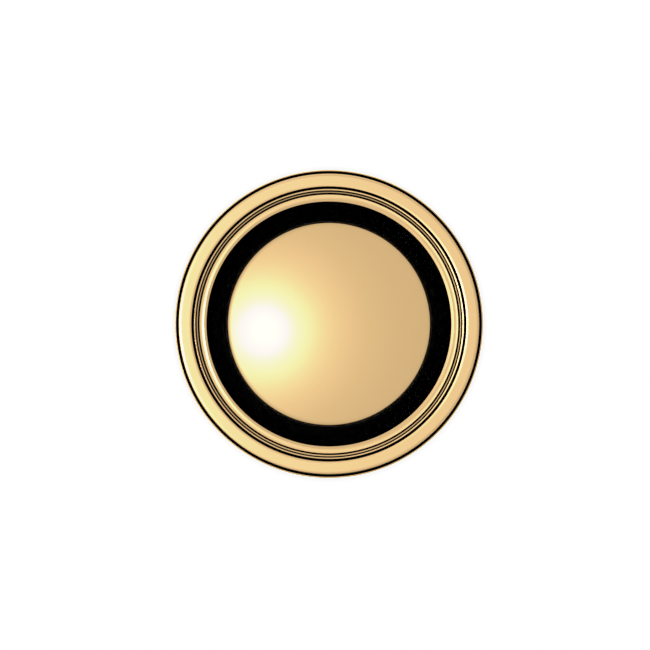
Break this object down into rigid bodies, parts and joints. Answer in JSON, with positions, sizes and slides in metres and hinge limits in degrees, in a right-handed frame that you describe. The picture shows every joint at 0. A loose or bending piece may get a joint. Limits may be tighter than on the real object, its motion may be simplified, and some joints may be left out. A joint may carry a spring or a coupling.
{
  "type": "coin capsule",
  "caption": "Round push-fit metal coin capsule with a clear window on each face, stepped front rings, a black foam insert and a plain domed coin.",
  "frame": {"origin": "middle of the rear face that the capsule lies on", "axes": "+Z along the capsule's axis, from the rear face to the front window; X and Y are any two directions across it"},
  "size_m": [0.0494, 0.0494, 0.0087],
  "materials": {
    "gold_plate": "turned brass, polished and gold plated",
    "coin_gold": "gold-plated blank with a satin polish",
    "clear_acrylic": "clear cast acrylic with an anti-reflection coating",
    "black_foam": "dense closed-cell EVA foam, die cut, matt",
    "black_silicone": "moulded silicone rubber, satin"
  },
  "bodies": {
    "rear_half": {"rear_shell": "gold_plate", "rear_lens_gasket": "black_silicone", "rear_lens": "clear_acrylic", "rear_lens_retainer": "gold_plate", "closure_seal": "black_silicone"},
    "front_half": {"front_bezel": "gold_plate", "front_lens_gasket": "black_silicone", "front_lens": "clear_acrylic", "lens_clamp_ring": "gold_plate", "lens_lock_ring": "gold_plate"},
    "foam_insert": {"insert_ring": "black_foam"},
    "coin_blank": {"coin": "coin_gold"}
  },
  "joints": [
    {"name": "front_pull", "type": "slide", "parent": "rear_half", "child": "front_half", "axis": [0, 0, 1], "range_m": [0, 0.06]},
    {"name": "insert_lift", "type": "slide", "parent": "rear_half", "child": "foam_insert", "axis": [0, 0, 1], "range_m": [0, 0.03]},
    {"name": "coin_lift", "type": "slide", "parent": "rear_half", "child": "coin_blank", "axis": [0, 0, 1], "range_m": [0, 0.015]}
  ],
  "couplings": [
    {"joint": "insert_lift", "follows": "front_pull", "ratio": 0.5},
    {"joint": "coin_lift", "follows": "front_pull", "ratio": 0.25}
  ]
}
